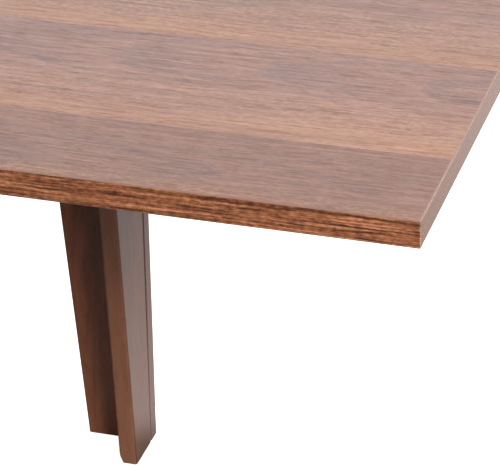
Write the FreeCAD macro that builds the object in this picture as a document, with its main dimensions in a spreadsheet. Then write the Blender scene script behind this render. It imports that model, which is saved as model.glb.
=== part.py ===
# Extending dining table with a fold-over top, modelled open (1800 x 900 mm).
#
# A small base with four L-shaped legs, each of two tapered boards, carries a top
# in two halves. The right half (main panel) slides along X on two runners, and
# the left half (leaf) is hinged to it at the seam. To close the table the leaf
# folds over the main panel, then both slide 450 mm towards -X until the doubled
# top sits centred on the base.
#
# Millimetres. X runs along the length of the open top, Y across it, Z up.
# Origin: on the floor, under the centre of the open top, which is also the seam.

import FreeCAD, Part
import Sketcher
import os

V = FreeCAD.Vector
doc = FreeCAD.newDocument("extending_dining_table")
sheet = doc.addObject("Spreadsheet::Sheet", "Dims")


class Quantity:
    """A length that knows its value and the sheet formula that gives it."""

    def __init__(self, text, value):
        self.text = text
        self.value = float(value)

    @staticmethod
    def of(other):
        if isinstance(other, Quantity):
            return other
        return Quantity(repr(float(other)), other)

    def __add__(self, other):
        o = Quantity.of(other)
        return Quantity("(%s + %s)" % (self.text, o.text), self.value + o.value)

    __radd__ = __add__

    def __sub__(self, other):
        o = Quantity.of(other)
        return Quantity("(%s - %s)" % (self.text, o.text), self.value - o.value)

    def __rsub__(self, other):
        return Quantity.of(other) - self

    def __mul__(self, other):
        o = Quantity.of(other)
        return Quantity("(%s * %s)" % (self.text, o.text), self.value * o.value)

    __rmul__ = __mul__

    def __truediv__(self, other):
        o = Quantity.of(other)
        return Quantity("(%s / %s)" % (self.text, o.text), self.value / o.value)

    def __neg__(self):
        return self * -1


sheet_row = [0]


def dim(alias, value, note):
    """One driving dimension: a row of the sheet with its alias."""
    sheet_row[0] += 1
    row = sheet_row[0]
    sheet.set("A%d" % row, note)
    sheet.set("B%d" % row, "%g" % value)
    sheet.setAlias("B%d" % row, alias)
    return Quantity("Dims." + alias, value)


# ---------------------------------------------------------------- dimensions
half_length = dim("half_length", 900, "half the length of the open top")
half_width = dim("half_width", 450, "half the width of the top")
table_height = dim("table_height", 760, "height of the top surface")
slab = dim("slab", 18, "thickness of the top panels")
band = dim("band", 1.2, "thickness of the edge banding on the outer edges")
seam_band = dim("seam_band", 1, "thickness of the edge banding at the seam")
seam_gap = dim("seam_gap", 1, "gap between the two halves of the top")
band_round = dim("band_round", 0.8, "rounding of the banded edges")

board = dim("board", 18, "thickness of the leg boards and rails")
leg_face = dim("leg_face", 426, "outer faces of the legs, from the middle")
side_foot = dim("side_foot", 63, "leg width across the table, at the floor")
side_top = dim("side_top", 134, "leg width across the table, at the top")
end_foot = dim("end_foot", 66, "leg width along the table, at the floor")
end_top = dim("end_top", 123.5, "leg width along the table, at the top")
leg_round = dim("leg_round", 2.5, "rounding of the long edges of the leg boards")
groove_round = dim("groove_round", 2.4, "rounding of the two board edges that form the groove")
foot_ease = dim("foot_ease", 4.2, "what the eased foot takes off the side boards' inner face")
foot_knee = dim("foot_knee", 8, "height at which that easing turns steeper")
foot_start = dim("foot_start", 24, "height from which that easing is drawn, outside the board")
glide = dim("glide", 1, "height that the glides stand out under the legs")
glide_sink = dim("glide_sink", 3, "depth of the glides in the feet")
glide_rad = dim("glide_rad", 5, "radius of the glides")
frame_top = dim("frame_top", 740, "top of the legs and rails")

rail_depth = dim("rail_depth", 90, "height of the rails")
rail_round = dim("rail_round", 1.5, "rounding of the lower edges of the rails")
bolt_x = dim("bolt_x", 338, "leg bolts in the long rails, from the middle")
bolt_y = dim("bolt_y", 338, "leg bolts in the short rails, from the middle")
bolt_low = dim("bolt_low", 664, "height of the lower leg bolts")
bolt_high = dim("bolt_high", 696, "height of the upper leg bolts")
bolt_hole = dim("bolt_hole", 3.3, "radius of the bolt holes in the rails")
insert_rad = dim("insert_rad", 4.5, "outer radius of the threaded inserts")
insert_len = dim("insert_len", 12, "length of the threaded inserts")
dowel_rad = dim("dowel_rad", 4, "radius of the dowels in the legs")
dowel_in = dim("dowel_in", 11, "depth of the dowel holes in the end boards")
dowel_deep = dim("dowel_deep", 20, "depth of the dowel holes in the side boards")
joint_screw = dim("joint_screw", 3.5, "radius of the rail joint screws")
joint_length = dim("joint_length", 50, "length of the rail joint screws")
joint_low = dim("joint_low", 672, "height of the lower joint screws")
joint_high = dim("joint_high", 712, "height of the upper joint screws")
mid_high = dim("mid_high", 694, "height of the upper centre rail screws")

track_half = dim("track_half", 388, "half length of the guide channels")
track_low = dim("track_low", 710, "underside of the guide channels")
track_high = dim("track_high", 736, "top of the guide channels")
track_depth = dim("track_depth", 16, "depth of the guide channels")
track_wall = dim("track_wall", 2, "wall of the guide channels")
track_lip = dim("track_lip", 5, "height of the lips of the guide channels")
travel = dim("travel", 450, "travel of the sliding top")
stop_face = dim("stop_face", 378.5, "inner faces of the channel stops")
shoe_play = dim("shoe_play", 0.4, "play of the slide shoes in the channels")
shoe_length = dim("shoe_length", 45, "length of one slide shoe")
runner_wall = dim("runner_wall", 3, "wall of the runners")

hinge_y = dim("hinge_y", 340, "outer hinges, from the middle")
hinge_length = dim("hinge_length", 60, "length of a hinge")
hinge_reach = dim("hinge_reach", 31, "reach of a hinge leaf from the seam")
hinge_wall = dim("hinge_wall", 2, "thickness of a hinge leaf")
hinge_rise = dim("hinge_rise", 0.4, "height of the hinge axis over the top surface")
knuckle = dim("knuckle", 2.6, "radius of the hinge knuckles")
pin_rad = dim("pin_rad", 1.2, "radius of the hinge pins")
pin_bore = dim("pin_bore", 1.25, "radius of the bore for the hinge pins")

doc.recompute()

slab_low = table_height - slab          # underside of the top
leg_low = glide                         # the legs end above the glides
rail_low = frame_top - rail_depth
inner_leg = leg_face - board            # inner faces of the leg boards, outer faces of the rails
inner_rail = inner_leg - board          # inner faces of the rails
axis_height = table_height + hinge_rise

NODES = []          # the sub-parts, in order


def number(q):
    return Quantity.of(q).value


def bind(obj, prop, q):
    """Set a property to a formula of the sheet."""
    q = Quantity.of(q)
    obj.setExpression(prop, q.text)


def place(obj, x=0, y=0, z=0, rotation=None):
    obj.Placement = FreeCAD.Placement(V(number(x), number(y), number(z)),
                                      rotation or FreeCAD.Rotation())
    for axis, q in (("x", x), ("y", y), ("z", z)):
        if isinstance(q, Quantity):
            bind(obj, "Placement.Base." + axis, q)


def sub_part(obj, label):
    obj.Label = label
    NODES.append(obj)
    return obj


# ---------------------------------------------------------------- sketch bodies
def new_body(name):
    return doc.addObject("PartDesign::Body", "Body_" + name)


def plane(body, role):
    for feature in body.Origin.OriginFeatures:
        if feature.Role == role:
            return feature
    raise RuntimeError("no plane " + role)


def new_sketch(body, role, name, offset=None):
    sk = body.newObject("Sketcher::SketchObject", name)
    sk.AttachmentSupport = [(plane(body, role), "")]
    sk.MapMode = "FlatFace"
    if offset is not None:
        offset = Quantity.of(offset)
        sk.AttachmentOffset = FreeCAD.Placement(V(0, 0, offset.value), FreeCAD.Rotation())
        sk.setExpression("AttachmentOffset.Base.z", offset.text)
    return sk


def tie(sk, kind, geo, point, q):
    """Hold one coordinate of a point at a formula of the sheet."""
    q = Quantity.of(q)
    index = sk.addConstraint(Sketcher.Constraint(kind, -1, 1, geo, point, q.value))
    sk.setExpression("Constraints[%d]" % index, q.text)


def add_polygon(sk, points):
    first = sk.GeometryCount
    count = len(points)
    for i in range(count):
        a, b = points[i], points[(i + 1) % count]
        sk.addGeometry(Part.LineSegment(V(number(a[0]), number(a[1]), 0),
                                        V(number(b[0]), number(b[1]), 0)), False)
    for i in range(count):
        sk.addConstraint(Sketcher.Constraint("Coincident", first + i, 2,
                                             first + (i + 1) % count, 1))
    for i, p in enumerate(points):
        tie(sk, "DistanceX", first + i, 1, p[0])
        tie(sk, "DistanceY", first + i, 1, p[1])


def add_rectangle(sk, u0, u1, v0, v1):
    add_polygon(sk, [(u0, v0), (u1, v0), (u1, v1), (u0, v1)])


def add_circle(sk, u, v, radius):
    index = sk.addGeometry(Part.Circle(V(number(u), number(v), 0), V(0, 0, 1),
                                       number(radius)), False)
    tie(sk, "DistanceX", index, 3, u)
    tie(sk, "DistanceY", index, 3, v)
    c = sk.addConstraint(Sketcher.Constraint("Radius", index, number(radius)))
    sk.setExpression("Constraints[%d]" % c, Quantity.of(radius).text)


def pad(body, sk, length, backwards=False):
    feature = body.newObject("PartDesign::Pad", "Pad")
    feature.Profile = sk
    feature.Length = number(length)
    bind(feature, "Length", length)
    feature.Reversed = backwards
    sk.Visibility = False
    doc.recompute()
    return feature


def pocket(body, sk, depth, backwards=False):
    """Cut a sketch into the body and make sure that it took material away."""
    before = body.Shape.Volume
    feature = body.newObject("PartDesign::Pocket", "Pocket")
    feature.Profile = sk
    feature.Length = number(depth)
    bind(feature, "Length", depth)
    feature.Reversed = backwards
    sk.Visibility = False
    doc.recompute()
    if not body.Shape.Volume < before - 0.1:
        raise RuntimeError("pocket in %s cuts nothing" % body.Name)
    return feature


def edges_where(shape, test):
    names = []
    for i, edge in enumerate(shape.Edges):
        ends = [v.Point for v in edge.Vertexes]
        if len(ends) == 2 and test(edge, ends[0], ends[1]):
            names.append("Edge%d" % (i + 1))
    return names


def near(a, b, slack=0.01):
    return abs(number(a) - number(b)) < slack


def round_edges(body, test, radius, kind="PartDesign::Fillet"):
    base = body.Tip
    names = edges_where(base.Shape, test)
    if not names:
        raise RuntimeError("no edges to round on " + body.Name)
    feature = body.newObject(kind, "Round")
    feature.Base = (base, names)
    prop = "Radius" if kind.endswith("Fillet") else "Size"
    setattr(feature, prop, number(radius))
    bind(feature, prop, radius)
    base.Visibility = False
    doc.recompute()
    if "Invalid" in feature.State or "Error" in feature.State or not feature.Shape.isValid():
        raise RuntimeError("rounding failed on " + body.Name)
    return feature


# ---------------------------------------------------------------- primitives
serial = [0]


def tool_name(prefix):
    serial[0] += 1
    return "%s_%03d" % (prefix, serial[0])


def make_box(x0, x1, y0, y1, z0, z1, name=None):
    x0, x1, y0, y1, z0, z1 = [Quantity.of(q) for q in (x0, x1, y0, y1, z0, z1)]
    obj = doc.addObject("Part::Box", name or tool_name("Box"))
    for prop, low, high in (("Length", x0, x1), ("Width", y0, y1), ("Height", z0, z1)):
        setattr(obj, prop, (high - low).value)
        bind(obj, prop, high - low)
    place(obj, x0, y0, z0)
    return obj


AIM = {"+X": FreeCAD.Rotation(V(0, 1, 0), 90), "-X": FreeCAD.Rotation(V(0, 1, 0), -90),
       "+Y": FreeCAD.Rotation(V(1, 0, 0), -90), "-Y": FreeCAD.Rotation(V(1, 0, 0), 90),
       "+Z": FreeCAD.Rotation(), "-Z": FreeCAD.Rotation(V(1, 0, 0), 180)}


def make_cylinder(x, y, z, aim, radius, length):
    obj = doc.addObject("Part::Cylinder", tool_name("Cylinder"))
    obj.Radius = number(radius)
    obj.Height = number(length)
    bind(obj, "Radius", radius)
    bind(obj, "Height", length)
    place(obj, Quantity.of(x), Quantity.of(y), Quantity.of(z), AIM[aim])
    return obj


def make_cone(x, y, z, aim, radius1, radius2, length):
    obj = doc.addObject("Part::Cone", tool_name("Cone"))
    obj.Radius1 = number(radius1)
    obj.Radius2 = number(radius2)
    obj.Height = number(length)
    for prop, q in (("Radius1", radius1), ("Radius2", radius2), ("Height", length)):
        bind(obj, prop, q)
    place(obj, Quantity.of(x), Quantity.of(y), Quantity.of(z), AIM[aim])
    return obj


def fuse(shapes, name=None):
    obj = doc.addObject("Part::MultiFuse", name or tool_name("Fuse"))
    obj.Shapes = shapes
    obj.Refine = True
    for s in shapes:
        s.Visibility = False
    return obj


def cut(base, tools, name=None):
    tool = tools[0] if len(tools) == 1 else fuse(tools)
    obj = doc.addObject("Part::Cut", name or tool_name("Cut"))
    obj.Base = base
    obj.Tool = tool
    base.Visibility = False
    tool.Visibility = False
    return obj


def group(shapes, label):
    """Identical pieces that share one node, each a solid of its own."""
    obj = doc.addObject("Part::Compound", "Group_" + label)
    obj.Links = shapes
    return sub_part(obj, label)


STEP = {"+X": (1, 0, 0), "-X": (-1, 0, 0), "+Y": (0, 1, 0),
        "-Y": (0, -1, 0), "+Z": (0, 0, 1), "-Z": (0, 0, -1)}


def along(x, y, z, aim, distance):
    dx, dy, dz = STEP[aim]
    return (Quantity.of(x) + distance * dx, Quantity.of(y) + distance * dy,
            Quantity.of(z) + distance * dz)


def countersunk_screw(x, y, z, aim, head, shank, sink, length, socket=0.55):
    """A screw whose flat head is flush at x, y, z and whose shank runs along aim.

    The head has a round driver recess. head and shank are radii.
    """
    body = fuse([make_cone(x, y, z, aim, head, shank, sink),
                 make_cylinder(x, y, z, aim, shank, length)])
    recess = make_cone(x, y, z, aim, head * socket, head * socket * 0.4, sink * 0.8)
    return cut(body, [recess])


# ---------------------------------------------------------------- legs
# Each leg is an L of two boards, its corner outwards. The side board stands
# across the table behind the end board, whose own edge shows on the outer face
# beside a groove. Both boards taper on their free edge, down to the foot.
DOWEL_HEIGHTS = (100, 300, 500, 690)
LEGS = (("front_left", -1, -1), ("front_right", 1, -1),
        ("back_left", -1, 1), ("back_right", 1, 1))

side_glide_x = board - 6                # clear of the rounded foot, from the inner face
side_glide_y = leg_face - side_foot + 16
end_glide_x = leg_face - end_foot + 14

for leg, sx, sy in LEGS:
    # side board: plane across the table, local x = 0 on its inner face
    name = "leg_%s_side_board" % leg
    body = new_body(name)
    sk = new_sketch(body, "YZ_Plane", "Outline")
    add_polygon(sk, [(sy * inner_leg, leg_low), (sy * inner_leg, frame_top),
                     (sy * (leg_face - side_top), frame_top),
                     (sy * (leg_face - side_foot), leg_low)])
    pad(body, sk, board, backwards=(sx < 0))
    sk = new_sketch(body, "YZ_Plane", "Inserts")
    for z in (bolt_low, bolt_high):
        add_circle(sk, sy * bolt_y, z, insert_rad)
    pocket(body, sk, insert_len + 1, backwards=(sx > 0))
    sk = new_sketch(body, "XZ_Plane", "Dowels", offset=-1 * sy * inner_leg)
    for z in DOWEL_HEIGHTS:
        add_circle(sk, sx * board / 2, z, dowel_rad)
    pocket(body, sk, dowel_deep, backwards=(sy > 0))
    sk = new_sketch(body, "XY_Plane", "Glide", offset=leg_low)
    add_circle(sk, sx * side_glide_x, sy * side_glide_y, glide_rad + 0.1)
    pocket(body, sk, glide_sink, backwards=True)
    round_edges(body, lambda e, a, b: e.Length > 500
                and not near(a.y, sy * inner_leg), leg_round)
    round_edges(body, lambda e, a, b: e.Length > 500 and near(a.x, sx * board)
                and near(a.y, sy * inner_leg) and near(b.y, sy * inner_leg), groove_round)
    sk = new_sketch(body, "XZ_Plane", "Foot", offset=-1 * sy * inner_leg)
    add_polygon(sk, [(-1 * sx, leg_low - 0.5), (-1 * sx, leg_low + foot_start),
                     (0.9 * sx, leg_low + foot_knee), (sx * foot_ease, leg_low - 0.5)])
    pocket(body, sk, side_foot, backwards=(sy > 0))
    place(body, sx * inner_leg, 0, 0)
    sub_part(body, name)

    # end board: plane along the table, local y = 0 on its inner face
    name = "leg_%s_end_board" % leg
    body = new_body(name)
    sk = new_sketch(body, "XZ_Plane", "Outline")
    add_polygon(sk, [(sx * leg_face, leg_low), (sx * leg_face, frame_top),
                     (sx * (leg_face - end_top), frame_top),
                     (sx * (leg_face - end_foot), leg_low)])
    pad(body, sk, board, backwards=(sy > 0))
    sk = new_sketch(body, "XZ_Plane", "Inserts")
    for z in (bolt_low, bolt_high):
        add_circle(sk, sx * bolt_x, z, insert_rad)
    pocket(body, sk, insert_len + 1, backwards=(sy < 0))
    sk = new_sketch(body, "XZ_Plane", "Dowels")
    for z in DOWEL_HEIGHTS:
        add_circle(sk, sx * (leg_face - board / 2), z, dowel_rad)
    pocket(body, sk, dowel_in, backwards=(sy < 0))
    sk = new_sketch(body, "XY_Plane", "Glide", offset=leg_low)
    add_circle(sk, sx * end_glide_x, sy * board / 2, glide_rad + 0.1)
    pocket(body, sk, glide_sink, backwards=True)
    round_edges(body, lambda e, a, b: e.Length > 500
                and not (near(a.x, sx * leg_face) and near(a.y, 0)), leg_round)
    round_edges(body, lambda e, a, b: e.Length > 500 and near(a.x, sx * leg_face)
                and near(a.y, 0) and near(b.y, 0), groove_round)
    place(body, 0, sy * inner_leg, 0)
    sub_part(body, name)

# dowels that hold each side board's edge to the end board
dowels = []
for leg, sx, sy in LEGS:
    for z in DOWEL_HEIGHTS:
        dowels.append(make_cylinder(sx * (leg_face - board / 2),
                                    sy * (inner_leg + dowel_in - 1), z,
                                    "-Y" if sy > 0 else "+Y", dowel_rad,
                                    dowel_in + dowel_deep - 2))
group(dowels, "leg_dowels")

# ---------------------------------------------------------------- rails
CHANNEL_SCREWS = (-330, -110, 110, 330)
track_mid = (track_low + track_high) / 2

for side, sy in (("front", -1), ("back", 1)):
    # long rail: local y = 0 on its outer face
    name = "apron_" + side
    body = new_body(name)
    sk = new_sketch(body, "XZ_Plane", "Outline")
    add_rectangle(sk, -inner_leg, inner_leg, rail_low, frame_top)
    pad(body, sk, board, backwards=(sy < 0))
    sk = new_sketch(body, "XZ_Plane", "Holes")
    for sx in (-1, 1):
        for z in (bolt_low, bolt_high):
            add_circle(sk, sx * bolt_x, z, bolt_hole)
        for z in (joint_low, joint_high):
            add_circle(sk, sx * (inner_leg - board / 2), z, joint_screw)
    for z in (joint_low, mid_high):
        add_circle(sk, 0, z, joint_screw)
    pocket(body, sk, board + 2, backwards=(sy > 0))
    sk = new_sketch(body, "XZ_Plane", "Pilots", offset=sy * board)
    for x in CHANNEL_SCREWS:
        add_circle(sk, x, track_mid, 1.75)
    pocket(body, sk, 15, backwards=(sy < 0))
    sk = new_sketch(body, "XZ_Plane", "Heads")
    for x, z in ([(sx * (inner_leg - board / 2), z)
                  for sx in (-1, 1) for z in (joint_low, joint_high)]
                 + [(Quantity("0", 0), z) for z in (joint_low, mid_high)]):
        add_circle(sk, x, z, joint_screw + 1.5)
    pocket(body, sk, 3.5, backwards=(sy > 0))
    round_edges(body, lambda e, a, b: e.Length > 500 and near(a.z, rail_low), rail_round)
    place(body, 0, sy * inner_leg, 0)
    sub_part(body, name)

for side, sx in (("left", -1), ("right", 1)):
    # short rail between the long rails: local x = 0 on its outer face
    name = "apron_" + side
    body = new_body(name)
    sk = new_sketch(body, "YZ_Plane", "Outline")
    add_rectangle(sk, -inner_rail, inner_rail, rail_low, frame_top)
    pad(body, sk, board, backwards=(sx > 0))
    sk = new_sketch(body, "YZ_Plane", "Holes")
    for sy in (-1, 1):
        for z in (bolt_low, bolt_high):
            add_circle(sk, sy * bolt_y, z, bolt_hole)
    pocket(body, sk, board + 2, backwards=(sx < 0))
    for sy in (-1, 1):
        sk = new_sketch(body, "XZ_Plane", "Pilots", offset=-1 * sy * inner_rail)
        for z in (joint_low, joint_high):
            add_circle(sk, -sx * board / 2, z, joint_screw)
        pocket(body, sk, joint_length - board + 1, backwards=(sy > 0))
    round_edges(body, lambda e, a, b: e.Length > 500 and near(a.z, rail_low), rail_round)
    place(body, sx * inner_leg, 0, 0)
    sub_part(body, name)

# centre rail under the seam; its ends are low so that the runners pass over them
body = new_body("centre_rail")
sk = new_sketch(body, "YZ_Plane", "Outline")
notch = inner_rail - 60
notch_z = track_low - 5
add_polygon(sk, [(-inner_rail, rail_low + 5), (inner_rail, rail_low + 5),
                 (inner_rail, notch_z), (notch, notch_z), (notch, frame_top),
                 (-notch, frame_top), (-notch, notch_z), (-inner_rail, notch_z)])
pad(body, sk, board)
for sy in (-1, 1):
    sk = new_sketch(body, "XZ_Plane", "Pilots", offset=-1 * sy * inner_rail)
    for z in (joint_low, mid_high):
        add_circle(sk, board / 2, z, joint_screw)
    pocket(body, sk, joint_length - board + 1, backwards=(sy > 0))
round_edges(body, lambda e, a, b: e.Length > 500 and near(a.z, rail_low + 5), rail_round)
place(body, -1 * board / 2, 0, 0)
sub_part(body, "centre_rail")

# triangular glue blocks in the corners of the rails
for leg, sx, sy in LEGS:
    body = new_body("corner_block_" + leg)
    sk = new_sketch(body, "XY_Plane", "Outline")
    add_polygon(sk, [(sx * inner_rail, sy * inner_rail),
                     (sx * (inner_rail - 40), sy * inner_rail),
                     (sx * (inner_rail - 40), sy * (inner_rail - 6)),
                     (sx * (inner_rail - 6), sy * (inner_rail - 40)),
                     (sx * inner_rail, sy * (inner_rail - 40))])
    pad(body, sk, 48)
    place(body, 0, 0, rail_low + 5)
    sub_part(body, "corner_block_" + leg)

# joint screws of the rails, countersunk in the long rails
joint_screws, mid_screws, caps = [], [], []
for sy, aim in ((-1, "+Y"), (1, "-Y")):
    for x, z, out in ([(sx * (inner_leg - board / 2), z, joint_screws)
                       for sx in (-1, 1) for z in (joint_low, joint_high)]
                      + [(Quantity("0", 0), z, mid_screws) for z in (joint_low, mid_high)]):
        y = sy * (inner_leg - 1)
        head = make_cylinder(x, y, z, aim, joint_screw + 1.4, 2.4)
        shank = make_cylinder(x, y, z, aim, joint_screw - 0.1, joint_length - 1)
        recess = make_cylinder(x, y, z, aim, 2, 2)
        out.append(cut(fuse([head, shank]), [recess]))
    for z in (joint_low, mid_high):
        y = sy * inner_leg
        cap = fuse([make_cylinder(0, y, z, "-Y" if sy < 0 else "+Y", 6.5, 0.8),
                    make_cone(0, sy * (inner_leg + 0.8), z, "-Y" if sy < 0 else "+Y",
                              6.5, 5.4, 0.6)])
        caps.append(cap)
group(joint_screws, "apron_screws")
group(mid_screws, "centre_rail_screws")
group(caps, "screw_caps")

# leg bolts with their washers and threaded inserts
bolts, washers, inserts = [], [], []
for leg, sx, sy in LEGS:
    ax = "+X" if sx > 0 else "-X"
    ay = "+Y" if sy > 0 else "-Y"
    for z in (bolt_low, bolt_high):
        for x, y, aim in ((sx * inner_rail, sy * bolt_y, ax),
                          (sx * bolt_x, sy * inner_rail, ay)):
            opposite = ("-" if aim[0] == "+" else "+") + aim[1]
            wx, wy, wz = along(x, y, z, opposite, 1.6)
            washers.append(cut(make_cylinder(wx, wy, wz, aim, 6.2, 1.6),
                               [make_cylinder(wx, wy, wz, aim, 3.2, 1.6)]))
            shank = make_cylinder(wx, wy, wz, aim, 2.9, 31)
            head = make_cylinder(wx, wy, wz, opposite, 5, 3)
            dx, dy, dz = along(wx, wy, wz, opposite, 3)
            dome = make_cone(dx, dy, dz, opposite, 5, 3.6, 1)
            ex, ey, ez = along(wx, wy, wz, opposite, 4)
            recess = make_cylinder(ex, ey, ez, aim, 2, 2.5)
            bolts.append(cut(fuse([shank, head, dome]), [recess]))
            bx, by, bz = along(x, y, z, aim, board)
            inserts.append(cut(make_cylinder(bx, by, bz, aim, insert_rad, insert_len),
                               [make_cylinder(bx, by, bz, aim, 3, insert_len)]))
group(bolts, "leg_bolts")
group(washers, "leg_bolt_washers")
group(inserts, "leg_inserts")

# glides let into both boards of each leg
for leg, sx, sy in LEGS:
    discs = []
    for x, y in ((sx * (inner_leg + side_glide_x), sy * side_glide_y),
                 (sx * end_glide_x, sy * (leg_face - board / 2))):
        discs.append(fuse([make_cone(x, y, 0, "+Z", glide_rad - 0.4, glide_rad, 0.4),
                           make_cylinder(x, y, 0.4, "+Z", glide_rad,
                                         glide + glide_sink - 0.4)]))
    group(discs, "glide_" + leg)

# felt on the top edges of the rails, on which the top slides
felt = []
for sy in (-1, 1):
    lo, hi = sorted((sy * (inner_rail + 4), sy * (inner_leg - 2)), key=number)
    felt.append(make_box(-1 * inner_rail + 12, inner_rail - 12, lo, hi,
                         frame_top, frame_top + 1.8))
for sx in (-1, 1):
    lo, hi = sorted((sx * (inner_rail + 4), sx * (inner_leg - 2)), key=number)
    felt.append(make_box(lo, hi, -1 * inner_rail + 12, inner_rail - 12,
                         frame_top, frame_top + 1.8))
felt.append(make_box(-6, 6, -1 * notch + 12, notch - 12, frame_top, frame_top + 1.8))
group(felt, "felt_strips")

# ---------------------------------------------------------------- guide channels
# C sections on the inner faces of the long rails, open towards the middle.
channel_screws = []
for side, sy in (("front", -1), ("back", 1)):
    back = inner_rail                      # against the rail
    mouth = inner_rail - track_depth       # open side
    name = "guide_channel_" + side
    body = new_body(name)
    sk = new_sketch(body, "YZ_Plane", "Section")
    add_polygon(sk, [(sy * back, track_low), (sy * back, track_high),
                     (sy * mouth, track_high),
                     (sy * mouth, track_high - track_wall - track_lip),
                     (sy * (mouth + track_wall), track_high - track_wall - track_lip),
                     (sy * (mouth + track_wall), track_high - track_wall),
                     (sy * (back - track_wall), track_high - track_wall),
                     (sy * (back - track_wall), track_low + track_wall),
                     (sy * (mouth + track_wall), track_low + track_wall),
                     (sy * (mouth + track_wall), track_low + track_wall + track_lip),
                     (sy * mouth, track_low + track_wall + track_lip),
                     (sy * mouth, track_low)])
    pad(body, sk, track_half * 2)
    sk = new_sketch(body, "XZ_Plane", "Screw_holes", offset=-1 * sy * (back - track_wall))
    for x in CHANNEL_SCREWS:
        add_circle(sk, x + track_half, track_mid, 1.85)
    pocket(body, sk, track_wall, backwards=(sy < 0))
    place(body, -1 * track_half, 0, 0)
    holes = [make_cone(x, sy * (back - track_wall), track_mid,
                       "+Y" if sy > 0 else "-Y", 3.75, 1.8, 1.9) for x in CHANNEL_SCREWS]
    sub_part(cut(body, holes, "Channel_" + side), name)
    for x in CHANNEL_SCREWS:
        channel_screws.append(countersunk_screw(x, sy * (back - track_wall), track_mid,
                                                "+Y" if sy > 0 else "-Y",
                                                3.6, 1.7, 1.85, 16))
    # plugs that close the channel and stop the shoes
    stops = []
    lo, hi = sorted((sy * (mouth + track_wall), sy * (back - track_wall)), key=number)
    for sx in (-1, 1):
        x0, x1 = sorted((sx * stop_face, sx * track_half), key=number)
        stops.append(make_box(x0, x1, lo, hi, track_low + track_wall, track_high - track_wall))
    group(stops, "channel_stops_" + side)
group(channel_screws, "channel_screws")

# ---------------------------------------------------------------- runners and shoes
# Each runner hangs from the main panel and reaches into its channel through the
# slot. Nylon shoes at both ends carry it. At rest its right end meets the stop.
runner_right = stop_face - 0.5
runner_left = stop_face * -1 + travel + 0.3
RUNNER_SCREWS = (40, 153, 266)
runner_screws = []
for side, sy in (("front", -1), ("back", 1)):
    back = inner_rail
    mouth = inner_rail - track_depth
    centre_z = track_mid
    plate_out = back - 6.5
    plate_in = plate_out - runner_wall
    web_out = mouth - 2
    web_in = web_out - runner_wall
    flange_in = web_out - 30
    name = "runner_" + side
    body = new_body(name)
    sk = new_sketch(body, "YZ_Plane", "Section")
    add_polygon(sk, [(sy * plate_out, centre_z - 9.5), (sy * plate_out, centre_z + 9.5),
                     (sy * plate_in, centre_z + 9.5), (sy * plate_in, centre_z + 1.5),
                     (sy * web_out, centre_z + 1.5), (sy * web_out, slab_low),
                     (sy * flange_in, slab_low), (sy * flange_in, slab_low - runner_wall),
                     (sy * web_in, slab_low - runner_wall), (sy * web_in, centre_z - 1.5),
                     (sy * plate_in, centre_z - 1.5), (sy * plate_in, centre_z - 9.5)])
    pad(body, sk, runner_right - runner_left)
    place(body, runner_left, 0, 0)
    holes = []
    for x in RUNNER_SCREWS:
        hx, hy = runner_left + x, sy * (web_in - 13)
        holes.append(make_cylinder(hx, hy, slab_low - runner_wall, "+Z", 2.2, runner_wall))
        holes.append(make_cone(hx, hy, slab_low - runner_wall, "+Z", 4.1, 2.1, 2.1))
        runner_screws.append(countersunk_screw(hx, hy, slab_low - runner_wall, "+Z",
                                               4.0, 2.0, 2.0, 15))
    sub_part(cut(body, holes, "Runner_" + side), name)
    shoes = []
    for end in (0, 1):
        body = new_body("shoe_%s_%d" % (side, end))
        sk = new_sketch(body, "YZ_Plane", "Section")
        out, inn = back - track_wall - shoe_play, mouth + track_wall + shoe_play
        low, high = track_low + track_wall + shoe_play, track_high - track_wall - shoe_play
        add_polygon(sk, [(sy * out, low), (sy * out, high), (sy * inn, high),
                         (sy * inn, centre_z + 1.5), (sy * plate_in, centre_z + 1.5),
                         (sy * plate_in, centre_z + 9.5), (sy * plate_out, centre_z + 9.5),
                         (sy * plate_out, centre_z - 9.5), (sy * plate_in, centre_z - 9.5),
                         (sy * plate_in, centre_z - 1.5), (sy * inn, centre_z - 1.5),
                         (sy * inn, low)])
        pad(body, sk, shoe_length)
        place(body, runner_left if end == 0 else runner_right - shoe_length, 0, 0)
        shoes.append(body)
    group(shoes, "slide_shoes_" + side)
group(runner_screws, "runner_screws")

# ---------------------------------------------------------------- the two halves of the top
HINGES = (("front", hinge_y * -1), ("middle", Quantity("0", 0)), ("back", hinge_y))
near_seam = seam_gap / 2

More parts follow.
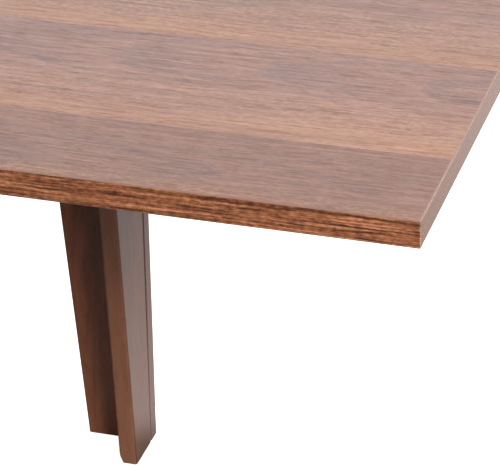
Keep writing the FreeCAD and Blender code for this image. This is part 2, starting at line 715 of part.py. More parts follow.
for half, sx in (("main", 1), ("leaf", -1)):
    panel_in = near_seam + seam_band
    panel_out = half_length - band
    panel_side = half_width - band

    body = new_body(half + "_panel")
    sk = new_sketch(body, "XY_Plane", "Outline")
    add_rectangle(sk, sx * panel_in, sx * panel_out, -panel_side, panel_side)
    pad(body, sk, slab)
    sk = new_sketch(body, "XY_Plane", "Hinge_seats", offset=slab)
    for _, yc in HINGES:
        add_rectangle(sk, Quantity("0", 0), sx * hinge_reach,
                      yc - hinge_length / 2, yc + hinge_length / 2)
    pocket(body, sk, hinge_wall)
    sk = new_sketch(body, "XY_Plane", "Knuckle_seats", offset=slab)
    for _, yc in HINGES:
        add_rectangle(sk, Quantity("0", 0), sx * (knuckle + 0.8),
                      yc - hinge_length / 2, yc + hinge_length / 2)
    pocket(body, sk, knuckle + 0.4)
    sk = new_sketch(body, "XY_Plane", "Hinge_pilots", offset=slab)
    for _, yc in HINGES:
        for dy in (-20, 0, 20):
            add_circle(sk, sx * (hinge_reach - 12), yc + dy, 1.55)
    pocket(body, sk, 15)
    if half == "main":
        sk = new_sketch(body, "XY_Plane", "Runner_pilots")
        for sy in (-1, 1):
            for x in RUNNER_SCREWS:
                add_circle(sk, runner_left + x,
                           sy * (inner_rail - track_depth - 2 - runner_wall - 13), 2.0)
        pocket(body, sk, 13, backwards=True)
    place(body, 0, 0, slab_low)
    sub_part(body, half + "_panel")

    # edge banding on the seam edge, cut back at the hinges
    body = new_body(half + "_edge_seam")
    sk = new_sketch(body, "XY_Plane", "Outline")
    add_rectangle(sk, sx * near_seam, sx * panel_in, -panel_side, panel_side)
    pad(body, sk, slab)
    sk = new_sketch(body, "XY_Plane", "Knuckle_seats", offset=slab)
    for _, yc in HINGES:
        add_rectangle(sk, Quantity("0", 0), sx * (knuckle + 0.8),
                      yc - hinge_length / 2, yc + hinge_length / 2)
    pocket(body, sk, knuckle + 0.4)
    place(body, 0, 0, slab_low)
    sub_part(body, half + "_edge_seam")

    # banding on the long edges, rounded outside and at the free corner
    for side, sy in (("front", -1), ("back", 1)):
        body = new_body("%s_edge_%s" % (half, side))
        sk = new_sketch(body, "XY_Plane", "Outline")
        add_rectangle(sk, sx * near_seam, sx * half_length, sy * panel_side, sy * half_width)
        pad(body, sk, slab)
        outer_y, outer_x = sy * half_width, sx * half_length

        def outer(e, a, b):
            if near(a.x, outer_x) and near(b.x, outer_x):
                if near(a.z, b.z):
                    return True                                     # top and bottom of the end
                return near(a.y, outer_y) and near(b.y, outer_y)    # upright corner
            return near(a.y, outer_y) and near(b.y, outer_y) and near(a.z, b.z)

        round_edges(body, outer, band_round)
        place(body, 0, 0, slab_low)
        sub_part(body, "%s_edge_%s" % (half, side))

    # banding on the end edge
    body = new_body(half + "_edge_end")
    sk = new_sketch(body, "XY_Plane", "Outline")
    add_rectangle(sk, sx * panel_out, sx * half_length, -panel_side, panel_side)
    pad(body, sk, slab)
    round_edges(body, lambda e, a, b: near(a.x, sx * half_length)
                and near(b.x, sx * half_length) and near(a.z, b.z), band_round)
    place(body, 0, 0, slab_low)
    sub_part(body, half + "_edge_end")

# ---------------------------------------------------------------- hinges
# Five knuckles each: three on the main panel, two on the leaf. The axis runs
# along Y just over the surface, so that the leaf folds flat on the main panel.
SEGMENTS = 5
pins = []
for place_name, yc in HINGES:
    start = yc - hinge_length / 2
    step = hinge_length / SEGMENTS
    for half, sx in (("main", 1), ("leaf", -1)):
        own = (0, 2, 4) if half == "main" else (1, 3)
        x0, x1 = sorted((sx * (knuckle + 0.8), sx * hinge_reach), key=number)
        parts = [make_box(x0, x1, start, start + hinge_length,
                          table_height - hinge_wall, table_height)]
        tools = []
        for i in own:
            y0, y1 = start + step * i + 0.15, start + step * (i + 1) - 0.15
            parts.append(make_cylinder(0, y0, axis_height, "+Y", knuckle, y1 - y0))
            x0, x1 = sorted((Quantity("0", 0), sx * (knuckle + 1.2)), key=number)
            parts.append(make_box(x0, x1, y0, y1, table_height - hinge_wall, table_height))
        tools.append(make_cylinder(0, start - 1, axis_height, "+Y", pin_bore, hinge_length + 2))
        for dy in (-20, 0, 20):
            tools.append(make_cylinder(sx * (hinge_reach - 12), yc + dy,
                                       table_height - hinge_wall - 0.5, "+Z", 1.6,
                                       hinge_wall + 1))
            tools.append(make_cone(sx * (hinge_reach - 12), yc + dy, table_height, "-Z",
                                   3.3, 1.5, 1.9))
        label = "hinge_%s_%s_leaf" % (place_name, "fixed" if half == "main" else "moving")
        sub_part(cut(fuse(parts), tools, "Hinge_" + label), label)
    pins.append(make_cylinder(0, start + 0.3, axis_height, "+Y", pin_rad, hinge_length - 0.6))
group(pins, "hinge_pins")

for half, sx in (("main", 1), ("leaf", -1)):
    screws = []
    for _, yc in HINGES:
        for dy in (-20, 0, 20):
            screws.append(countersunk_screw(sx * (hinge_reach - 12), yc + dy, table_height,
                                            "-Z", 3.2, 1.5, 1.85, 14))
    group(screws, "hinge_screws_" + half)

# ---------------------------------------------------------------- check and write
doc.recompute()
failed = [o.Name for o in doc.Objects if "Invalid" in o.State or "Error" in o.State]
if failed:
    raise RuntimeError("failed features: " + ", ".join(failed))
labels = [o.Label for o in NODES]
if len(set(labels)) != len(labels) or len(labels) > 60:
    raise RuntimeError("labels clash or there are too many")
for o in NODES:
    if o.Shape.isNull() or not o.Shape.isValid() or not o.Shape.Solids:
        raise RuntimeError("bad shape: " + o.Label)

os.makedirs("parts", exist_ok=True)
for o in NODES:
    o.Shape.exportStep("parts/%s.step" % o.Label)
box = FreeCAD.BoundBox()
for o in NODES:
    box.add(o.Shape.BoundBox)
    print("%-32s %2d solid(s) %12.1f mm3" % (o.Label, len(o.Shape.Solids), o.Shape.Volume))
print(len(NODES), "sub-parts; box", box)
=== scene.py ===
import math

import bpy
from mathutils import Matrix, Vector

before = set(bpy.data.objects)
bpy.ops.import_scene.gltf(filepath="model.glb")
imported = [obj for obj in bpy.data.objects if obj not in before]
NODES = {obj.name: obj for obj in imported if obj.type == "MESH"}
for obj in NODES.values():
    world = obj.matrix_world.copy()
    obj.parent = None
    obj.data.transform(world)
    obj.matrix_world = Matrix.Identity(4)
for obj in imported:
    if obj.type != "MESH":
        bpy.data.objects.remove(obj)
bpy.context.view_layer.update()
scene = bpy.context.scene


# ------------------------------------------------------------------ node helpers
class Net:
    """A small wrapper that makes shader nodes and joins them."""

    def __init__(self, material):
        self.tree = material.node_tree
        self.tree.nodes.clear()
        self.x = 0

    def node(self, kind, **props):
        n = self.tree.nodes.new(kind)
        self.x += 40
        n.location = (self.x, (self.x * 7) % 600)
        for k, v in props.items():
            setattr(n, k, v)
        return n

    def put(self, value, socket):
        """Set a socket to a number, or join it to another node's output."""
        if isinstance(value, bpy.types.NodeSocket):
            self.tree.links.new(value, socket)
        else:
            socket.default_value = value

    def math(self, op, a, b=None, c=None, clamp=False):
        n = self.node("ShaderNodeMath", operation=op, use_clamp=clamp)
        self.put(a, n.inputs[0])
        if b is not None:
            self.put(b, n.inputs[1])
        if c is not None:
            self.put(c, n.inputs[2])
        return n.outputs[0]

    def add(self, a, b):
        return self.math("ADD", a, b)

    def sub(self, a, b):
        return self.math("SUBTRACT", a, b)

    def mul(self, a, b):
        return self.math("MULTIPLY", a, b)

    def mad(self, a, b, c):
        return self.math("MULTIPLY_ADD", a, b, c)

    def xyz(self, x, y, z):
        n = self.node("ShaderNodeCombineXYZ")
        for v, s in zip((x, y, z), n.inputs):
            self.put(v, s)
        return n.outputs[0]

    def split(self, vector):
        n = self.node("ShaderNodeSeparateXYZ")
        self.put(vector, n.inputs[0])
        return n.outputs[0], n.outputs[1], n.outputs[2]

    def noise(self, vector, scale=1.0, detail=2.0, rough=0.5, distortion=0.0, w=None):
        n = self.node("ShaderNodeTexNoise", noise_dimensions="4D" if w is not None else "3D")
        self.put(vector, n.inputs["Vector"])
        n.inputs["Scale"].default_value = scale
        n.inputs["Detail"].default_value = detail
        n.inputs["Roughness"].default_value = rough
        n.inputs["Distortion"].default_value = distortion
        if w is not None:
            self.put(w, n.inputs["W"])
        return n.outputs[0]

    def white(self, value):
        n = self.node("ShaderNodeTexWhiteNoise", noise_dimensions="1D")
        self.put(value, n.inputs["W"])
        return n.outputs["Value"]

    def remap(self, value, a, b, c=0.0, d=1.0, smooth=False):
        n = self.node("ShaderNodeMapRange",
                      interpolation_type="SMOOTHSTEP" if smooth else "LINEAR", clamp=True)
        self.put(value, n.inputs["Value"])
        for v, k in zip((a, b, c, d), ("From Min", "From Max", "To Min", "To Max")):
            self.put(v, n.inputs[k])
        return n.outputs["Result"]

    def ramp(self, value, stops):
        n = self.node("ShaderNodeValToRGB")
        e = n.color_ramp.elements
        while len(e) > 1:
            e.remove(e[-1])
        for i, (p, c) in enumerate(stops):
            s = e[0] if i == 0 else e.new(p)
            s.position = p
            s.color = (*c, 1.0)
        self.put(value, n.inputs[0])
        return n.outputs[0]

    def mix(self, factor, a, b, mode="MIX"):
        n = self.node("ShaderNodeMix", data_type="RGBA", blend_type=mode)
        self.put(factor, n.inputs[0])
        for v, s in ((a, n.inputs[6]), (b, n.inputs[7])):
            self.put(v if isinstance(v, bpy.types.NodeSocket) else (*v, 1.0), s)
        return n.outputs[2]

    def coords(self):
        return self.node("ShaderNodeTexCoord").outputs["Object"]

    def bump(self, height, strength, distance, normal=None):
        n = self.node("ShaderNodeBump")
        n.inputs["Strength"].default_value = strength
        n.inputs["Distance"].default_value = distance
        self.put(height, n.inputs["Height"])
        if normal is not None:
            self.put(normal, n.inputs["Normal"])
        return n.outputs[0]

    def finish(self, colour, roughness=0.4, normal=None, metallic=0.0, **sockets):
        p = self.node("ShaderNodeBsdfPrincipled")
        self.put(colour if isinstance(colour, bpy.types.NodeSocket) else (*colour, 1.0),
                 p.inputs["Base Color"])
        self.put(roughness, p.inputs["Roughness"])
        p.inputs["Metallic"].default_value = metallic
        for k, v in sockets.items():
            self.put(v, p.inputs[k.replace("_", " ")])
        if normal is not None:
            self.put(normal, p.inputs["Normal"])
        out = self.node("ShaderNodeOutputMaterial")
        self.tree.links.new(p.outputs[0], out.inputs[0])
        return p


def srgb(r, g, b):
    """A colour given as it looks on a screen, 0 to 255, as linear values."""
    def one(v):
        v /= 255.0
        return v / 12.92 if v <= 0.04045 else ((v + 0.055) / 1.055) ** 2.4
    return (one(r), one(g), one(b))


def new_material(name):
    m = bpy.data.materials.new(name)
    m.use_nodes = True
    return m, Net(m)


def dress(material, *names):
    for name in names:
        o = NODES[name]
        if not o.material_slots:
            o.data.materials.append(material)
        for s in o.material_slots:
            s.link = "OBJECT"
            s.material = material


# ------------------------------------------------------------------ walnut
PITCH = 0.129          # width of one plank of the top's pattern
FIRST = -0.369         # one boundary between planks, near the long front edge


def grain(net, u, v, w, seed, wave=1.0, wide=240.0, run=17.0, ripple=0.0020):
    """Walnut grain along u. Returns (streaks, dashes, fleck, figure, pores, slow), each 0 to 1.

    u, v, w are metres along the grain, across it, and into the board.
    seed is a number or a socket that is constant over one board; wide sets how
    close the streaks lie, and run how short they are.
    """
    shift = net.mul(net.white(seed), 37.0)

    def field(cu, cv, detail=2.0, rough=0.5, more=0.0, across=None):
        a = v if across is None else across
        return net.noise(net.xyz(net.mul(u, cu), net.mul(a, cv), net.mul(w, cv)),
                         1.0, detail, rough, w=net.add(shift, more))

    # bends of the grain, from the whole board down to single fibres
    bend = net.mad(net.sub(field(2.3, 7.0), 0.5), 0.030 * wave, v)
    bend = net.mad(net.sub(field(11.0, 45.0), 0.5), 0.0050 * wave, bend)
    bend = net.mad(net.sub(field(44.0, 130.0, more=3.0), 0.5), ripple * wave, bend)
    # growth rings in flat-sawn wood: contours of a slow field, which close in flames
    hill = field(2.6, 15.0, 1.5, 0.45, more=9.0)
    phase = net.math("FRACT", net.mad(hill, 13.0, net.mul(bend, 70.0)))
    figure = net.math("POWER", phase, 1.8)
    where = net.remap(field(4.0, 26.0, 2.0, 0.5, more=17.0), 0.46, 0.62, smooth=True)
    figure = net.mul(figure, where)
    # streaks, and short darker dashes on them
    streaks = field(run, wide, 5.0, 0.68, across=bend)
    dashes = net.remap(field(4.0 * run, 1.5 * wide, 3.0, 0.6, more=5.0, across=bend), 0.50, 0.68)
    fleck = field(230.0, 520.0, 2.0, 0.6, more=13.0, across=bend)
    pores = net.remap(field(120.0, 1500.0, 2.0, 0.55, more=7.0, across=bend), 0.575, 0.70)
    slow = field(3.6, 24.0, 3.0, 0.55, more=11.0, across=bend)
    return streaks, dashes, fleck, figure, pores, slow


def walnut_top(name):
    m, net = new_material(name)
    x, y, z = net.split(net.coords())
    # planks across the width; the boundary lines wander by a fraction of a millimetre
    wander = net.mul(net.sub(net.noise(net.xyz(net.mul(x, 6.0), 0.0, 0.0), 1.0, 2.0), 0.5), 0.0012)
    s = net.math("DIVIDE", net.sub(net.add(y, wander), FIRST), PITCH)
    plank = net.math("FLOOR", s)
    t = net.math("FRACT", s)
    streaks, dashes, fleck, figure, pores, slow = grain(net, x, y, z, net.add(plank, 20.5),
                                                        wide=330.0, run=12.0, ripple=0.0010)
    # the sapwood side of each plank is peach, then tan, and the heart side mauve-brown
    patch = net.noise(net.xyz(net.mul(x, 5.0), net.mul(y, 30.0), net.mul(plank, 3.7)), 1.0, 2.0, 0.5)
    sap = net.remap(net.mad(net.sub(slow, 0.5), 0.25, t), 0.06, 0.26, 0.92, 0.42, smooth=True)
    sap = net.mul(sap, net.remap(net.mad(net.sub(slow, 0.5), 0.55, t), 0.40, 0.58, 1.0, 0.0, smooth=True))
    sap = net.mul(sap, net.remap(patch, 0.36, 0.62, 0.80, 1.08))
    tone = net.mad(net.sub(streaks, 0.5), 2.4, 0.60)
    tone = net.mad(dashes, -0.36, tone)
    tone = net.mad(net.sub(fleck, 0.5), 0.9, tone)
    tone = net.mad(net.math("SINE", net.mad(plank, 2.2, 0.629)), 0.19, net.sub(tone, 0.13))
    heart = net.ramp(tone, [(0.0, (0.190, 0.052, 0.016)), (0.5, (0.302, 0.110, 0.063)),
                            (1.0, (0.405, 0.188, 0.142))])
    sapwood = net.ramp(tone, [(0.0, (0.290, 0.090, 0.020)), (0.5, (0.430, 0.163, 0.065)),
                              (1.0, (0.540, 0.255, 0.145))])
    colour = net.mix(sap, heart, sapwood)
    tan = net.mul(net.remap(t, 0.10, 0.22), net.remap(t, 0.50, 0.38))
    tan = net.mul(tan, net.remap(fleck, 0.50, 0.66, 0.0, 0.30))
    colour = net.mix(tan, colour, (0.50, 0.27, 0.115))
    # mauve flames and clouds
    cloud = net.remap(slow, 0.54, 0.30, 0.0, 0.50, smooth=True)
    cloud = net.math("MAXIMUM", cloud, net.mul(figure, 0.40))
    # flat-sawn flames: arches nested along each plank, which point the other way on the next one
    sway = net.noise(net.xyz(net.mul(x, 7.0), net.mul(y, 26.0), net.mul(plank, 5.1)), 1.0, 3.0, 0.55)
    heading = net.math("COSINE", net.mul(plank, math.pi))
    from_axis = net.sub(net.mad(net.sub(sway, 0.5), 0.15, t), net.mad(heading, 0.095, 0.645))
    from_axis = net.mul(net.math("ABSOLUTE", from_axis), PITCH)
    arch = net.mad(net.math("POWER", from_axis, 3.0), -3900.0, net.mul(x, heading))
    arch = net.mad(arch, 9.6, net.mad(plank, 0.37, 0.741))
    arch = net.mad(net.sub(sway, 0.5), 0.7, arch)
    # single fibres carry the front of a flame further or less far, so it looks feathered
    arch = net.mad(net.sub(streaks, 0.5), 1.3, arch)
    behind = net.math("FRACT", arch)
    each = net.white(net.mad(plank, 11.0, net.math("FLOOR", arch)))
    reach = net.remap(from_axis, 0.026, 0.048, 1.0, 0.0, smooth=True)
    flame = net.math("POWER", net.sub(1.0, behind), 2.6)
    flame = net.mul(flame, net.remap(behind, 0.0, 0.07, smooth=True))
    flame = net.mul(flame, net.mul(reach, net.mad(each, 0.5, 0.75)))
    flame = net.mul(flame, net.remap(patch, 0.30, 0.55, 0.35, 1.0))
    cloud = net.math("MAXIMUM", cloud, flame)
    colour = net.mix(cloud, colour, net.mix(1.0, colour, (0.60, 0.65, 0.83), mode="MULTIPLY"))
    light = net.mul(net.remap(behind, 0.80, 1.0, 0.0, 0.22), net.mul(reach, each))
    colour = net.mix(light, colour, (0.47, 0.235, 0.165))
    colour = net.mix(net.mul(pores, 0.5), colour, (0.095, 0.034, 0.016))
    # glue line against the edging
    rim = net.math("MAXIMUM", net.sub(net.math("ABSOLUTE", x), 0.8986),
                   net.sub(net.math("ABSOLUTE", y), 0.4486))
    colour = net.mix(net.remap(rim, -0.0001, 0.0001, 0.0, 0.4), colour, (0.11, 0.045, 0.025))
    rough = net.mad(net.sub(streaks, 0.5), 0.12, net.mad(dashes, 0.05, net.mad(pores, 0.12, 0.385)))
    height = net.sub(net.mad(dashes, -0.3, net.mul(streaks, 0.35)), pores)
    net.finish(colour, rough, net.bump(height, 0.35, 0.00012))
    return m


def walnut_edging(name, axis, seed, strong=1.0, deep=1.0, rough=0.31, line=0.7):
    """Thick walnut edging: strongly streaked face, pale where it was milled round, with a painted
    highlight along that arris.
    """
    m, net = new_material(name)
    x, y, z = net.split(net.coords())
    u, v, w = {"X": (x, z, y), "Y": (y, z, x)}[axis]
    streaks, dashes, fleck, figure, pores, slow = grain(net, u, v, w, float(seed), wave=0.5,
                                                        wide=620.0, run=9.0)
    bands = net.noise(net.xyz(net.mul(u, 5.0), net.mul(v, 380.0), net.mul(w, 380.0)),
                      1.0, 3.0, 0.6, w=float(seed))
    tone = net.mad(net.sub(streaks, 0.5), 3.8 * strong, 0.62)
    tone = net.mad(net.sub(bands, 0.5), 1.2 * strong, tone)
    tone = net.mad(dashes, -0.5 * strong, tone)
    tone = net.mad(net.sub(fleck, 0.5), 1.7 * strong, tone)
    tone = net.mad(net.remap(z, 0.7560, 0.7585, smooth=True), -0.20 * strong, tone)
    colour = net.ramp(tone, [(p, tuple(deep * c for c in rgb)) for p, rgb in (
        (0.0, (0.075, 0.020, 0.007)), (0.28, (0.185, 0.055, 0.021)), (0.55, (0.315, 0.105, 0.042)),
        (0.85, (0.470, 0.175, 0.076)), (1.0, (0.640, 0.270, 0.135)))])
    # threads of yellower and of redder wood
    hue = net.noise(net.xyz(net.mul(u, 30.0), net.mul(v, 420.0), net.mul(w, 420.0)),
                    1.0, 3.0, 0.6, w=float(seed) + 0.5)
    colour = net.mix(strong, colour, net.ramp(hue, [(0.40, (0.96, 1.03, 0.95)),
                                                    (0.60, (1.03, 0.98, 1.06))]), "MULTIPLY")
    colour = net.mix(net.mul(pores, 0.6 * strong), colour, (0.045, 0.015, 0.008))
    # the milled arris and corner are painted pale: partly the edging's paler core, partly a painted
    # highlight along the rounding
    flat = net.remap(z, 0.75970, 0.75985)
    colour = net.mix(flat, colour, net.ramp(streaks, [(0.3, (0.24, 0.090, 0.052)),
                                                      (0.7, (0.34, 0.150, 0.098))]))
    top = net.mul(net.remap(z, 0.7593, 0.7596, smooth=True), net.remap(z, 0.75975, 0.75988, 1.0, 0.0))
    corner = net.mul(net.remap(net.math("ABSOLUTE", x), 0.8992, 0.8996),
                     net.remap(net.math("ABSOLUTE", y), 0.4492, 0.4496))
    milled_and_highlight = net.math("MAXIMUM", top, net.mul(corner, 0.6))
    core_and_highlight = net.ramp(streaks, [(0.3, (0.44, 0.28, 0.19)), (0.7, (0.60, 0.42, 0.30))])
    # line sets how strongly this pale core and painted highlight show
    colour = net.mix(net.mul(milled_and_highlight, line), colour, core_and_highlight)
    r = net.mad(net.sub(streaks, 0.5), 0.10, net.mad(pores, 0.12 * strong, rough))
    height = net.sub(net.mad(dashes, -0.3, net.mul(streaks, 0.35)), pores)
    net.finish(colour, r, net.bump(height, 0.35 * strong, 0.00012))
    return m


def walnut_board(name, axis, seed, dark, mid, light, contrast=1.5, wide=150.0, pore=0.5,
                 rough=0.42, wave=1.0, free=None, groove=False, gloss=0.5):
    """Plain-sawn wood on one board. axis is the direction of its grain.

    free is the axis that the board's free edge faces; that edge is banded in a lighter strip.
    groove paints shade on a leg's outer faces, foot and joint line, and light into that joint near the
    foot.
    """
    m, net = new_material(name)
    x, y, z = net.split(net.coords())
    u, v, w = {"X": (x, z, y), "Y": (y, z, x), "Z": (z, x, y), "z": (z, y, x),
               "x": (x, y, z)}[axis]
    streaks, dashes, fleck, figure, pores, slow = grain(net, u, v, w, float(seed), wave=wave,
                                                        wide=wide)
    tone = net.mad(net.sub(streaks, 0.5), contrast, 0.54)
    tone = net.mad(dashes, -0.12 * contrast, tone)
    tone = net.mad(figure, -0.16, tone)
    tone = net.mad(net.sub(slow, 0.5), 0.9, tone)
    # painted light and shade on upright boards: lighter towards the foot, and much darker from 0.16 m
    # upward, as in the shadow under the top
    if axis in "Zz":
        tone = net.add(tone, net.remap(z, 0.02, 0.17, 0.20, 0.05))
        tone = net.add(tone, net.remap(z, 0.16, 0.30, 0.0, -0.50))
    colour = net.ramp(tone, [(0.05, dark), (0.5, mid), (0.95, light)])
    colour = net.mix(net.mul(pores, pore), colour, tuple(0.45 * c for c in dark))
    banded = 0.0
    if free:
        which = "XYZ".index(free)
        facing = net.split(net.node("ShaderNodeTexCoord").outputs["Normal"])
        inward = net.mul(facing[which], net.math("SIGN", (x, y, z)[which]))
        across = net.mul(facing[1 - which], net.math("SIGN", (x, y)[1 - which]))
        banded = net.remap(inward, -0.55, -0.9, smooth=True)
        colour = net.mix(banded, colour, net.mix(0.14, colour, (0.58, 0.32, 0.20)))
        # the lacquer is thin on the rounded arris inside that edge
        arris = net.mul(net.remap(inward, -0.985, -0.90), net.remap(inward, -0.05, -0.20))
        arris = net.mul(arris, net.remap(across, 0.10, -0.10))
        gloss = net.mad(arris, -0.85 * gloss, gloss)
    if groove:
        # painted shade: the outer faces are darkened against the edges, by 30% below 0.15 m and by 12%
        # above 0.30 m
        outer = net.math("MAXIMUM", net.math("ABSOLUTE", x), net.math("ABSOLUTE", y))
        outer = net.mul(net.remap(outer, 0.4212, 0.4222), net.sub(1.0, banded))
        shade = net.mul(outer, net.remap(z, 0.15, 0.30, 0.30, 0.12))
        colour = net.mix(shade, colour, (0.0, 0.0, 0.0))
        # painted shade: the outer faces darken further over the last 45 mm above the floor
        foot = net.mul(net.remap(z, 0.045, 0.008), outer)
        colour = net.mix(net.mul(foot, 0.55), colour, dark)
        # painted shade in the joint groove between the boards, growing from the foot upward
        near = net.math("ABSOLUTE", net.sub(net.math("ABSOLUTE", y), 0.408))
        line = net.mul(net.remap(near, 0.0016, 0.0046, 1.0, 0.0, smooth=True),
                       net.remap(net.math("ABSOLUTE", x), 0.4195, 0.4215))
        deep = net.remap(z, 0.05, 0.30, 0.15, 0.65)
        colour = net.mix(net.mul(line, deep), colour, tuple(0.20 * c for c in dark))
        # painted light: the joint line is lightened near the foot, against the groove's own shading there
        painted_joint_light = net.mul(line, net.remap(z, 0.04, 0.16, 0.30, 0.0))
        colour = net.mix(painted_joint_light, colour, (0.42, 0.27, 0.22))
    r = net.mad(net.sub(streaks, 0.5), 0.10, net.mad(pores, 0.12, rough))
    height = net.sub(net.mad(dashes, -0.3, net.mul(streaks, 0.35)), pores)
    net.finish(colour, r, net.bump(height, 0.35, 0.00012), Specular_IOR_Level=gloss)
    return m


top_wood = walnut_top("walnut_planks")
dress(top_wood, "main_panel", "leaf_panel")

for half, seed in (("main", 31), ("leaf", 47)):
    dress(walnut_edging("walnut_edge_%s_front" % half, "X", seed), half + "_edge_front")
    dress(walnut_edging("walnut_edge_%s_back" % half, "X", seed + 3), half + "_edge_back")
    dress(walnut_edging("walnut_edge_%s_end" % half, "Y", seed + 5, strong=0.12, deep=0.78,
                        rough=0.26, line=0.9), half + "_edge_end")
    dress(walnut_edging("walnut_edge_%s_seam" % half, "Y", seed + 7), half + "_edge_seam")

LEG = dict(dark=(0.115, 0.032, 0.012), mid=(0.258, 0.083, 0.035), light=(0.360, 0.138, 0.068),
           contrast=0.9, wide=110.0, pore=0.35, rough=0.33, gloss=0.38)
seed = 60
for leg in ("front_left", "front_right", "back_left", "back_right"):
    dress(walnut_board("walnut_leg_%s_side" % leg, "z", seed, free="Y", groove=True, **LEG),
          "leg_%s_side_board" % leg)
    dress(walnut_board("walnut_leg_%s_end" % leg, "Z", seed + 1, free="X", groove=True, **LEG),
          "leg_%s_end_board" % leg)
    seed += 2
dress(walnut_board("walnut_rail_front", "X", 81, **LEG), "apron_front")
dress(walnut_board("walnut_rail_back", "X", 82, **LEG), "apron_back")
dress(walnut_board("walnut_rail_left", "Y", 83, **LEG), "apron_left")
dress(walnut_board("walnut_rail_right", "Y", 84, **LEG), "apron_right")

BEECH = dict(dark=srgb(176, 128, 84), mid=srgb(205, 162, 116), light=srgb(222, 184, 140),
             contrast=0.9, wide=200.0, pore=0.12, rough=0.55)
dress(walnut_board("beech_rail", "Y", 91, **BEECH), "centre_rail")
dress(walnut_board("beech_block", "Z", 92, **BEECH),
      *["corner_block_" + leg for leg in ("front_left", "front_right", "back_left", "back_right")])
dress(walnut_board("beech_dowel", "Y", 93, **BEECH), "leg_dowels")


# ------------------------------------------------------------------ metals, plastics, felt
def metal(name, colour, rough, axis="X", scratch=0.08):
    """Metal brushed or drawn along one axis."""
    m, net = new_material(name)
    x, y, z = net.split(net.coords())
    u, v, w = {"X": (x, y, z), "Y": (y, x, z), "Z": (z, x, y)}[axis]
    lines = net.noise(net.xyz(net.mul(u, 12.0), net.mul(v, 2600.0), net.mul(w, 2600.0)),
                      1.0, 3.0, 0.6)
    patch = net.noise(net.coords(), 35.0, 3.0, 0.6)
    tone = net.mad(net.sub(lines, 0.5), 0.35, patch)
    dark = tuple(0.78 * c for c in colour)
    col = net.ramp(tone, [(0.25, dark), (0.75, colour)])
    r = net.mad(net.sub(lines, 0.5), scratch * 2, net.mad(net.sub(patch, 0.5), 0.15, rough))
    net.finish(col, r, net.bump(lines, 0.25, 0.00003), metallic=1.0)
    return m


def plastic(name, colour, rough, grainy=0.3):
    """Moulded plastic with a fine spark-eroded texture."""
    m, net = new_material(name)
    fine = net.noise(net.coords(), 2600.0, 2.0, 0.6)
    patch = net.noise(net.coords(), 60.0, 3.0, 0.5)
    col = net.ramp(patch, [(0.2, tuple(0.86 * c for c in colour)), (0.8, colour)])
    r = net.mad(net.sub(patch, 0.5), 0.2, rough)
    net.finish(col, r, net.bump(fine, grainy, 0.00006))
    return m


aluminium = metal("aluminium_extruded", (0.71, 0.72, 0.73), 0.36, "X")
brass = metal("brass_brushed", (0.68, 0.49, 0.23), 0.30, "Y")
steel = metal("steel_zinc", (0.58, 0.59, 0.58), 0.38, "Z", 0.05)
nylon = plastic("nylon_natural", srgb(222, 218, 204), 0.45)
glide_black = plastic("glide_black", srgb(34, 31, 29), 0.5)
cap_brown = plastic("cap_brown", srgb(78, 50, 38), 0.5)

dress(aluminium, "guide_channel_front", "guide_channel_back", "runner_front", "runner_back")
dress(brass, *[n for n in NODES if n.startswith("hinge_")])
dress(steel, "apron_screws", "centre_rail_screws", "channel_screws", "runner_screws",
      "leg_bolts", "leg_bolt_washers")
dress(brass, "leg_inserts")
dress(nylon, "channel_stops_front", "channel_stops_back", "slide_shoes_front", "slide_shoes_back")
dress(glide_black, *[n for n in NODES if n.startswith("glide_")])
dress(cap_brown, "screw_caps")

felt, net = new_material("felt_brown")
fibres = net.noise(net.coords(), 1400.0, 4.0, 0.75, distortion=1.5)
col = net.ramp(fibres, [(0.3, srgb(38, 28, 24)), (0.7, srgb(74, 58, 50))])
net.finish(col, 0.95, net.bump(fibres, 0.6, 0.0004), Sheen_Weight=0.4)
dress(felt, "felt_strips")

# ------------------------------------------------------------------ floor, world, lights
DOME_LOW, DOME_HIGH = 0.02, 0.10        # brightness of the dome at the horizon and overhead
mesh = bpy.data.meshes.new("floor")
R = 30.0
mesh.from_pydata([(-R, -R, 0), (R, -R, 0), (R, R, 0), (-R, R, 0)], [], [(0, 1, 2, 3)])
floor = bpy.data.objects.new("floor", mesh)
scene.collection.objects.link(floor)
m, net = new_material("floor_white")
diffuse = net.node("ShaderNodeBsdfDiffuse")
diffuse.inputs["Color"].default_value = (0.38, 0.38, 0.38, 1)
glow = net.node("ShaderNodeEmission")
glow.inputs["Color"].default_value = (1, 1, 1, 1)
path = net.node("ShaderNodeLightPath")
# painted light: for all but camera rays the floor glows, brightly behind the back legs (dimmer left of x
# 0.36 m), brighter with distance out to the right, and only faintly under the table, so the satin faces
# mirror it and are lit by it
place = net.node("ShaderNodeNewGeometry")
place_x, place_y = net.split(place.outputs["Position"])[:2]
front = net.remap(place_y, -0.45, 0.35, 0.0, 0.10)
behind = net.mad(net.remap(place_y, 0.46, 0.70), -0.30, net.remap(place_y, 0.405, 0.450, 0.0, 0.76))
behind = net.mad(net.remap(place_y, 0.70, 0.85), -0.10, behind)
behind = net.mul(behind, net.remap(place_x, 0.36, 0.46, 0.30, 1.0))
outside = net.mad(net.remap(place_y, 1.2, 2.2), 0.28, net.remap(place_y, 0.60, 1.20, 0.0, 0.50))
outer = net.remap(place_x, 0.75, 1.00)
painted_floor_glow = net.add(front, net.mad(outer, outside, net.mul(net.sub(1.0, outer), behind)))
away = net.math("SQRT", net.add(net.mul(place_x, place_x), net.mul(place_y, place_y)))
pale = net.remap(away, 1.2, 4.5, 0.93, 0.99, smooth=True)
net.put(net.mad(path.outputs["Is Camera Ray"], pale, painted_floor_glow), glow.inputs["Strength"])
both = net.node("ShaderNodeAddShader")
net.put(diffuse.outputs[0], both.inputs[0])
net.put(glow.outputs[0], both.inputs[1])
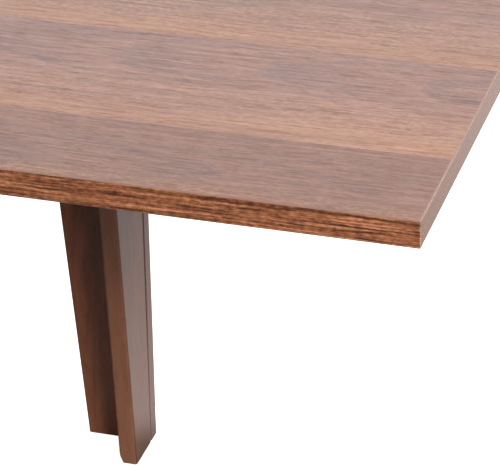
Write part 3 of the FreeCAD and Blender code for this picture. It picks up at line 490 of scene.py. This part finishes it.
# only its upper side exists, so the table can also be looked at from below
clear = net.node("ShaderNodeBsdfTransparent")
side = net.node("ShaderNodeMixShader")
net.put(place.outputs["Backfacing"], side.inputs[0])
net.put(both.outputs[0], side.inputs[1])
net.put(clear.outputs[0], side.inputs[2])
out = net.node("ShaderNodeOutputMaterial")
net.put(side.outputs[0], out.inputs[0])
mesh.materials.append(m)

world = bpy.data.worlds.new("studio")
scene.world = world
world.use_nodes = True
tree = world.node_tree
tree.nodes.clear()
path = tree.nodes.new("ShaderNodeLightPath")
spot = tree.nodes.new("ShaderNodeTexCoord")
part = tree.nodes.new("ShaderNodeSeparateXYZ")
rise = tree.nodes.new("ShaderNodeMath")
rise.operation = "MULTIPLY_ADD"
rise.use_clamp = True
rise.inputs[1].default_value = DOME_HIGH - DOME_LOW
rise.inputs[2].default_value = DOME_LOW
soft = tree.nodes.new("ShaderNodeBackground")
soft.inputs[0].default_value = (1.0, 1.0, 1.0, 1)
white = tree.nodes.new("ShaderNodeBackground")
white.inputs[0].default_value = (1, 1, 1, 1)
white.inputs[1].default_value = 1.0
pick = tree.nodes.new("ShaderNodeMixShader")
out = tree.nodes.new("ShaderNodeOutputWorld")
tree.links.new(spot.outputs["Generated"], part.inputs[0])
tree.links.new(part.outputs[2], rise.inputs[0])
tree.links.new(rise.outputs[0], soft.inputs[1])
tree.links.new(path.outputs["Is Camera Ray"], pick.inputs[0])
tree.links.new(soft.outputs[0], pick.inputs[1])
tree.links.new(white.outputs[0], pick.inputs[2])
tree.links.new(pick.outputs[0], out.inputs[0])


def softbox(name, position, target, width, height, power, sheen=True):
    """An area light. One without sheen lights surfaces but leaves no bright spot on them."""
    light = bpy.data.lights.new(name, "AREA")
    light.shape = "RECTANGLE"
    light.size, light.size_y = width, height
    light.energy = power
    o = bpy.data.objects.new(name, light)
    o.location = position
    o.rotation_mode = "QUATERNION"
    o.rotation_quaternion = (Vector(target) - Vector(position)).to_track_quat("-Z", "Y")
    o.visible_glossy = sheen
    scene.collection.objects.link(o)
    return o


# The key stands to the right of the camera, above the edge of the top, so the
# visible part of the far leg comes out of the top's shadow towards its foot.
softbox("key", (2.165, -2.207, 2.16), (0.42, 0.38, 0.15), 0.6, 0.95, 73, sheen=False)
softbox("side_softbox", (2.75, -0.80, 2.5), (0.42, 0.38, 0.15), 0.8, 0.8, 17, sheen=False)
softbox("back_softbox", (0.5, 3.2, 2.7), (0.7, -0.2, 0.76), 5.6, 2.4, 116)
softbox("right_softbox", (3.4, 0.2, 3.0), (0.9, 0.0, 0.6), 1.8, 1.8, 5)
softbox("left_softbox", (-3.4, -2.6, 2.6), (-0.5, 0.0, 0.6), 1.6, 1.6, 11)

# ------------------------------------------------------------------ camera
# Solved from the photo: 500 x 465 frame, focal length 2791 px.
PITCH_DOWN, TURN, ROLL = math.radians(28.3625), math.radians(17.1356), math.radians(-0.9274)
FOCAL = 2791.1
eye = Vector((1.2207, -1.8221, 1.5138))
ahead = Vector((-math.sin(TURN), math.cos(TURN), 0))
right = Vector((math.cos(TURN), math.sin(TURN), 0))
up = Vector((0, 0, 1))
look = math.cos(PITCH_DOWN) * ahead - math.sin(PITCH_DOWN) * up
lift = math.sin(PITCH_DOWN) * ahead + math.cos(PITCH_DOWN) * up
c, s = math.cos(ROLL), math.sin(ROLL)
cam_x = c * right + s * lift
cam_y = -s * right + c * lift
cam = bpy.data.cameras.new("camera")
cam.sensor_fit = "HORIZONTAL"
cam.sensor_width = 36.0
cam.lens = FOCAL * 36.0 / 500.0
cam.clip_start, cam.clip_end = 0.05, 100
camera = bpy.data.objects.new("camera", cam)
turn = Matrix((cam_x, cam_y, -look)).transposed()
camera.matrix_world = Matrix.Translation(eye) @ turn.to_4x4()
scene.collection.objects.link(camera)
scene.camera = camera

scene.view_settings.view_transform = "Standard"
scene.view_settings.look = "None"
